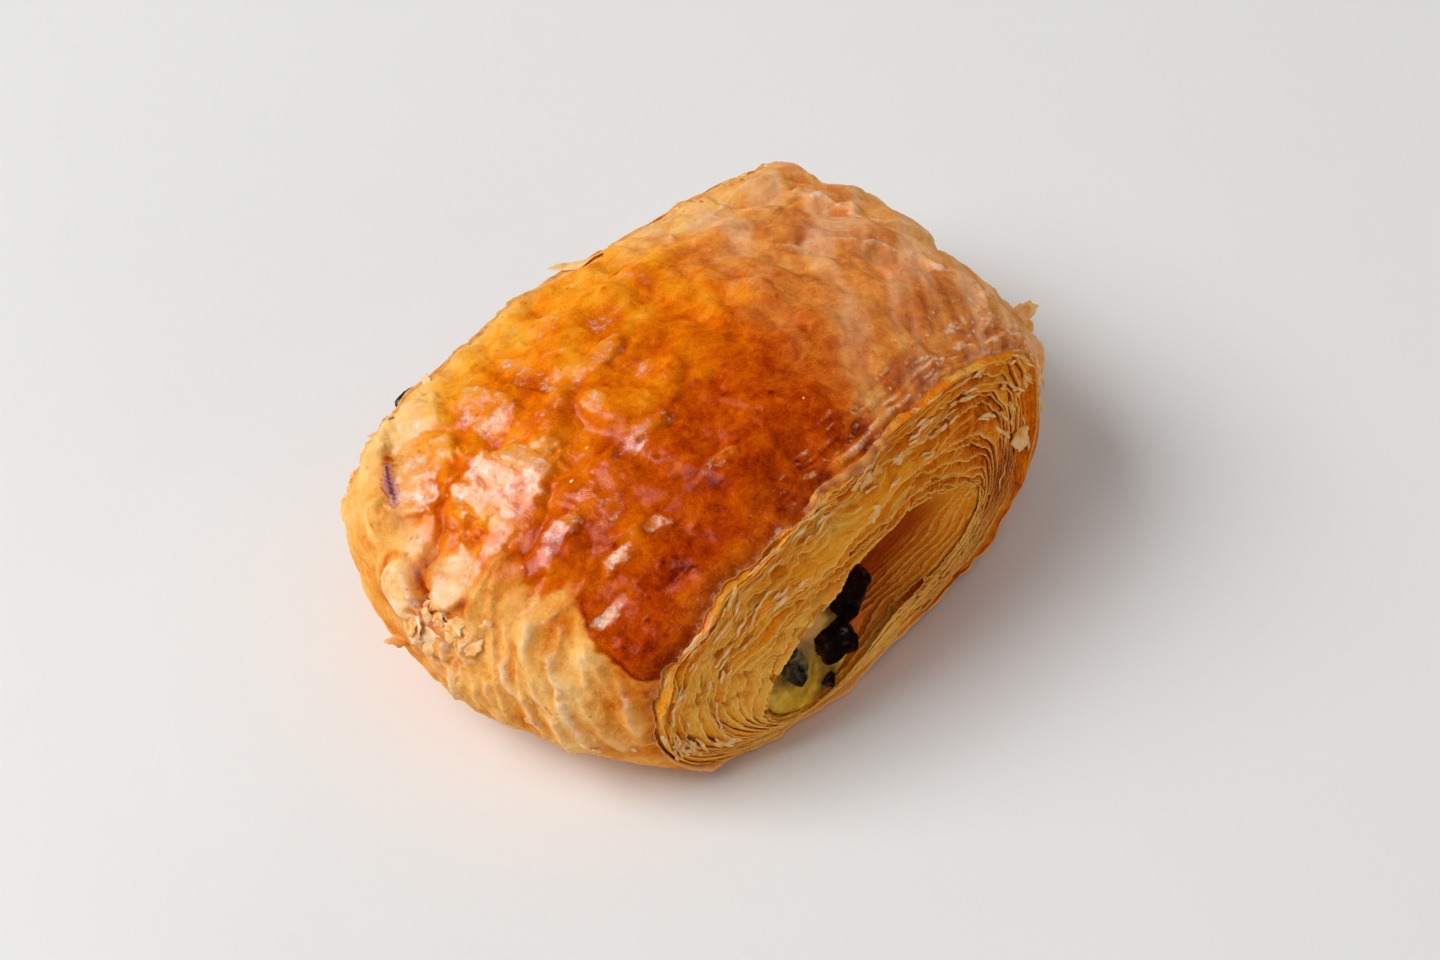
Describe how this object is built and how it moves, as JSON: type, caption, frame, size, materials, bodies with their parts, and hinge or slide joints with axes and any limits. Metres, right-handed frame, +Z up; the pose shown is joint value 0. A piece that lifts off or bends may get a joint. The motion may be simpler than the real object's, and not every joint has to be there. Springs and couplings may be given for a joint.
{
  "type": "pain suisse",
  "caption": "Folded laminated pastry with glazed crust, open layered sides, custard running through and dark chocolate pieces.",
  "frame": {"origin": "middle of the pastry's box in plan, on the surface it stands on", "axes": "+X along the cut sides, from the pale folded end to the round right end; +Y across the roll, from the cut side seen in the picture to the far one; +Z up"},
  "size_m": [0.1274, 0.0905, 0.0508],
  "materials": {
    "dough": "baked laminated dough, glazed and glossy on top, pale and flaky at the cut sides",
    "custard": "set custard, moist satin",
    "chocolate": "dark chocolate, satin with a dull bloom"
  },
  "bodies": {
    "root": {"dough": "dough", "custard": "custard", "chip_front_upper": "chocolate", "chip_front_middle": "chocolate", "chip_front_left": "chocolate", "chip_front_low": "chocolate", "chip_back_left": "chocolate", "chip_back_right": "chocolate", "chip_back_rim": "chocolate"}
  },
  "joints": []
}
